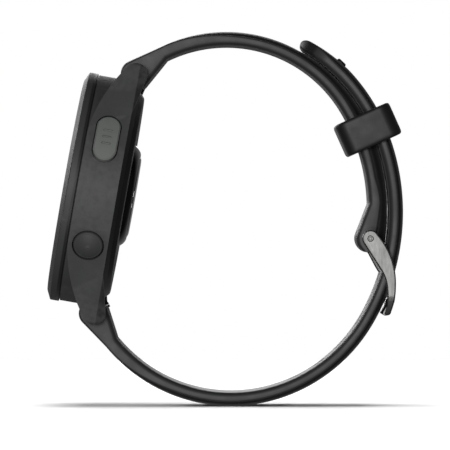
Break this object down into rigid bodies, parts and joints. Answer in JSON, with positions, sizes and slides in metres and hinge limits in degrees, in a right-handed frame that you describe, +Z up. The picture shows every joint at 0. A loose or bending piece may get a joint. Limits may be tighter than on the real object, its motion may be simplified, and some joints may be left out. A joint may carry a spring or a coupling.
{
  "type": "gps running watch",
  "caption": "Round sports watch with a buckled silicone strap: tilted case, lugs, side buttons, pulse sensor, spring bars, steel buckle and sliding keeper.",
  "frame": {"origin": "centre of the overall box at the surface under the strap", "axes": "+X from the display to the buckle, +Y to the 9 o'clock side of the case, +Z up"},
  "size_m": [0.0662, 0.044, 0.0695],
  "materials": {
    "case_polymer": "fibre-reinforced polymer with a very fine matte moulding grain",
    "bezel_polymer": "fine matte moulding with a slightly smoother chamfer",
    "lens_glass": "clear hardened cover glass over a dark display",
    "display_black": "black display panel, off",
    "frame_polymer": "moulded chassis polymer",
    "antenna_copper": "bare copper strip",
    "board_green": "solder-masked board",
    "shield_tin": "tinned shield cans",
    "battery_wrap": "foil pouch",
    "motor_steel": "small stamped cans",
    "flex_amber": "amber flexible circuit",
    "back_polymer": "satin black polymer",
    "sensor_polymer": "gloss black polymer around the pulse sensor",
    "sensor_glass": "dark infrared-clear window, polished",
    "led_white": "small light-emitting and receiving chips",
    "socket_polymer": "charging socket insulator",
    "contact_gold": "gold-plated contacts",
    "screw_steel": "blackened steel screws",
    "clip_steel": "spring steel clips",
    "bar_steel": "stainless spring bars and bushes",
    "button_polymer": "matte button caps in the case colour",
    "start_button_grey": "mid-grey satin cap with a darker chamfer",
    "seal_rubber": "black seal rubber",
    "strap_silicone": "soft black silicone, matte with a fine bloom",
    "keeper_silicone": "soft black silicone",
    "buckle_steel": "bead-blasted stainless with bright edges",
    "pin_steel": "turned stainless pin"
  },
  "bodies": {
    "case": {"case_shell": "case_polymer", "bezel": "bezel_polymer", "lens": "lens_glass", "lens_gasket": "seal_rubber", "display_panel": "display_black", "display_flex": "flex_amber", "internal_frame": "frame_polymer", "gps_antenna": "antenna_copper", "main_board": "board_green", "shield_cans": "shield_tin", "battery": "battery_wrap", "vibration_motor": "motor_steel", "beeper": "motor_steel", "barometer": "motor_steel", "back_cover": "back_polymer", "back_gasket": "seal_rubber", "back_screws": "screw_steel", "sensor_housing": "sensor_polymer", "sensor_window": "sensor_glass", "sensor_board": "board_green", "sensor_leds": "led_white", "charge_socket": "socket_polymer", "charge_contacts": "contact_gold", "button_bushes": "bar_steel", "tactile_switches": "frame_polymer", "upper_bar_tube": "bar_steel", "lower_bar_tube": "bar_steel"},
    "start_button": {"start_button": "start_button_grey", "start_button_seal": "seal_rubber", "start_button_clip": "clip_steel"},
    "back_button": {"back_button": "button_polymer", "back_button_seal": "seal_rubber", "back_button_clip": "clip_steel"},
    "light_button": {"light_button": "button_polymer", "light_button_seal": "seal_rubber", "light_button_clip": "clip_steel"},
    "up_button": {"up_button": "button_polymer", "up_button_seal": "seal_rubber", "up_button_clip": "clip_steel"},
    "down_button": {"down_button": "button_polymer", "down_button_seal": "seal_rubber", "down_button_clip": "clip_steel"},
    "upper_bar_lever": {"upper_bar_lever": "bar_steel"},
    "lower_bar_lever": {"lower_bar_lever": "bar_steel"},
    "strap_upper": {"strap_upper": "strap_silicone"},
    "strap_lower": {"strap_lower": "strap_silicone"},
    "keeper": {"keeper": "keeper_silicone"},
    "buckle": {"buckle_frame": "buckle_steel", "buckle_pin": "pin_steel"},
    "tongue": {"buckle_tongue": "buckle_steel"}
  },
  "joints": [
    {"name": "start_button_press", "type": "slide", "parent": "case", "child": "start_button", "axis": [-0.0783, 0.8926, -0.444], "range_m": [0, 0.0005], "stiffness_N_per_m": 2500, "springref_m": -0.0002},
    {"name": "back_button_press", "type": "slide", "parent": "case", "child": "back_button", "axis": [0.0823, 0.8805, 0.4669], "range_m": [0, 0.0005], "stiffness_N_per_m": 2500, "springref_m": -0.0002},
    {"name": "light_button_press", "type": "slide", "parent": "case", "child": "light_button", "axis": [-0.0829, -0.8788, -0.4699], "range_m": [0, 0.0005], "stiffness_N_per_m": 2500, "springref_m": -0.0002},
    {"name": "up_button_press", "type": "slide", "parent": "case", "child": "up_button", "axis": [0, -1, 0], "range_m": [0, 0.0005], "stiffness_N_per_m": 2500, "springref_m": -0.0002},
    {"name": "down_button_press", "type": "slide", "parent": "case", "child": "down_button", "axis": [0.0829, -0.8788, 0.4699], "range_m": [0, 0.0005], "stiffness_N_per_m": 2500, "springref_m": -0.0002},
    {"name": "upper_bar_release", "type": "slide", "parent": "case", "child": "upper_bar_lever", "axis": [0, 1, 0], "range_m": [0, 0.00115], "stiffness_N_per_m": 400, "springref_m": -0.0005},
    {"name": "lower_bar_release", "type": "slide", "parent": "case", "child": "lower_bar_lever", "axis": [0, 1, 0], "range_m": [0, 0.00115], "stiffness_N_per_m": 400, "springref_m": -0.0005},
    {"name": "upper_strap_pivot", "type": "hinge", "parent": "case", "child": "strap_upper", "pos_m": [-0.01667, 0, 0.0614], "axis": [0, 1, 0], "range_deg": [0, 0.3], "stiffness_Nm_per_rad": 2},
    {"name": "lower_strap_pivot", "type": "hinge", "parent": "case", "child": "strap_lower", "pos_m": [-0.02441, 0, 0.01748], "axis": [0, 1, 0], "range_deg": [-0.1836, 0], "stiffness_Nm_per_rad": 2},
    {"name": "keeper_slide", "type": "hinge", "parent": "strap_upper", "child": "keeper", "pos_m": [-0.00195, 0, 0.03862], "axis": [0, -1, 0], "range_deg": [-5, 6]},
    {"name": "buckle_pivot", "type": "hinge", "parent": "strap_upper", "child": "buckle", "pos_m": [0.0269, 0, 0.03112], "axis": [0, -1, 0], "range_deg": [0, 2]},
    {"name": "tongue_pivot", "type": "hinge", "parent": "buckle", "child": "tongue", "pos_m": [0.0269, 0, 0.03112], "axis": [0, -1, 0], "range_deg": [0, 1.5]}
  ],
  "couplings": [
    {"joint": "lower_strap_pivot", "follows": "upper_strap_pivot", "ratio": -0.6}
  ]
}
